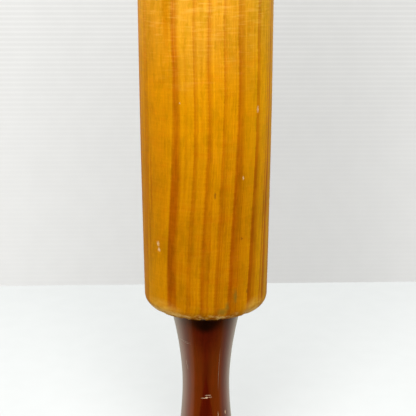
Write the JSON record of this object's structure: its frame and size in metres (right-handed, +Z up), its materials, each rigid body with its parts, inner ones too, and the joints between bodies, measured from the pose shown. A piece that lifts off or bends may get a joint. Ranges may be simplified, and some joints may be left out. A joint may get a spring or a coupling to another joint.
{
  "type": "rolling pin",
  "caption": "Rolling pin with a wooden barrel that spins on a steel axle between turned, brown-lacquered wooden handles.",
  "frame": {"origin": "centre of the lower handle's end face, where the rolling pin stands on end", "axes": "+Z runs up along the axle, from the lower handle through the barrel to the upper handle; X and Y are alike"},
  "size_m": [0.06, 0.06, 0.47],
  "materials": {
    "pine": "varnished pine, satin, with orange-brown growth rings",
    "brown_lacquer": "glossy red-brown lacquer on turned wood",
    "axle_steel": "bright drawn steel rod",
    "zinc_steel": "zinc-plated steel",
    "white_nylon": "natural white nylon",
    "blue_nylon": "blue nylon locking ring"
  },
  "bodies": {
    "axle": {"axle_rod": "axle_steel", "lower_thrust_washer": "zinc_steel", "upper_thrust_washer": "zinc_steel", "lower_end_washer": "zinc_steel", "upper_end_washer": "zinc_steel", "lower_lock_nut": "zinc_steel", "upper_lock_nut": "zinc_steel", "lower_lock_ring": "blue_nylon", "upper_lock_ring": "blue_nylon"},
    "barrel": {"barrel": "pine", "lower_barrel_bush": "white_nylon", "upper_barrel_bush": "white_nylon"},
    "lower_handle": {"lower_handle": "brown_lacquer", "lower_inner_bush": "white_nylon", "lower_outer_bush": "white_nylon", "lower_end_plug": "brown_lacquer"},
    "upper_handle": {"upper_handle": "brown_lacquer", "upper_inner_bush": "white_nylon", "upper_outer_bush": "white_nylon", "upper_end_plug": "brown_lacquer"}
  },
  "joints": [
    {"name": "barrel_spin", "type": "hinge", "parent": "axle", "child": "barrel", "pos_m": [0, 0, 0.235], "axis": [0, 0, 1], "continuous": true},
    {"name": "lower_handle_spin", "type": "hinge", "parent": "axle", "child": "lower_handle", "pos_m": [0, 0, 0.054], "axis": [0, 0, 1], "continuous": true},
    {"name": "upper_handle_spin", "type": "hinge", "parent": "axle", "child": "upper_handle", "pos_m": [0, 0, 0.416], "axis": [0, 0, 1], "continuous": true}
  ]
}
